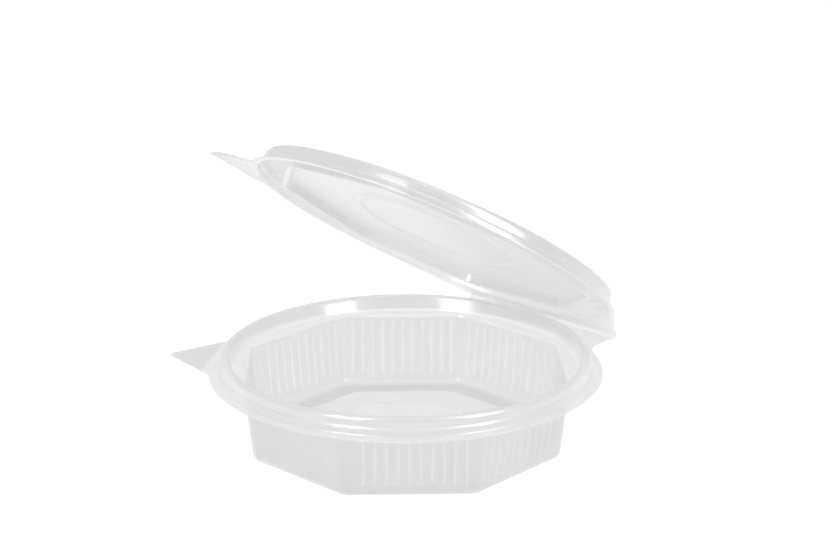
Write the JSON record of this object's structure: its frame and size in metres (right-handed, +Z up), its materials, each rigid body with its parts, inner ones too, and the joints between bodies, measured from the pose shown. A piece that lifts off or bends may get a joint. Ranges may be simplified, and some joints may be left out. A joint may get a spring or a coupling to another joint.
{
  "type": "hinged takeaway container",
  "caption": "Clear plastic takeaway tub with fluted octagonal walls, a round snap rim and a low cap lid that swings on a straight fold; both flanges have a pull tab.",
  "frame": {"origin": "under the middle of the container's box, on the surface that the tray stands on", "axes": "+Z up; +Y from the middle towards the fold that joins tray and lid; +X to the right as seen from the side opposite the fold"},
  "size_m": [0.163, 0.1678, 0.1286],
  "materials": {
    "clear_plastic": "clear formed sheet, glossy on both faces"
  },
  "bodies": {
    "tray": {"tray": "clear_plastic"},
    "lid": {"lid": "clear_plastic"}
  },
  "joints": [
    {"name": "lid_fold", "type": "hinge", "parent": "tray", "child": "lid", "pos_m": [0.00115, 0.08364, 0.0309], "axis": [-1, 0, 0], "range_deg": [-34.25, 145.75]}
  ]
}
